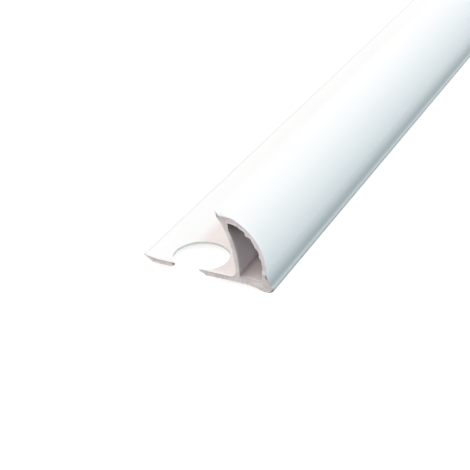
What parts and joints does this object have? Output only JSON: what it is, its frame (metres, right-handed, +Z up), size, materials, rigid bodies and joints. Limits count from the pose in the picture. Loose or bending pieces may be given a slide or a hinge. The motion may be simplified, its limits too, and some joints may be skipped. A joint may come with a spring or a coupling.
{
  "type": "corner guard",
  "caption": "Quarter-round corner guard strip in white rigid plastic: perforated flange, leaning web, hollow rounded nose and a beaded lower edge, for tiled corners.",
  "frame": {"origin": "midway along and across the strip, level with the lowest line of the bead under the nose", "axes": "+Y along the strip, away from the end whose cut crosses a hole; +X from the flange's free edge towards the nose; +Z up from the flange towards the tip"},
  "size_m": [0.0232, 2.5, 0.0127],
  "materials": {
    "white_plastic": "satin white rigid PVC, extruded, with sawn ends"
  },
  "bodies": {
    "root": {"edge_trim": "white_plastic"}
  },
  "joints": []
}
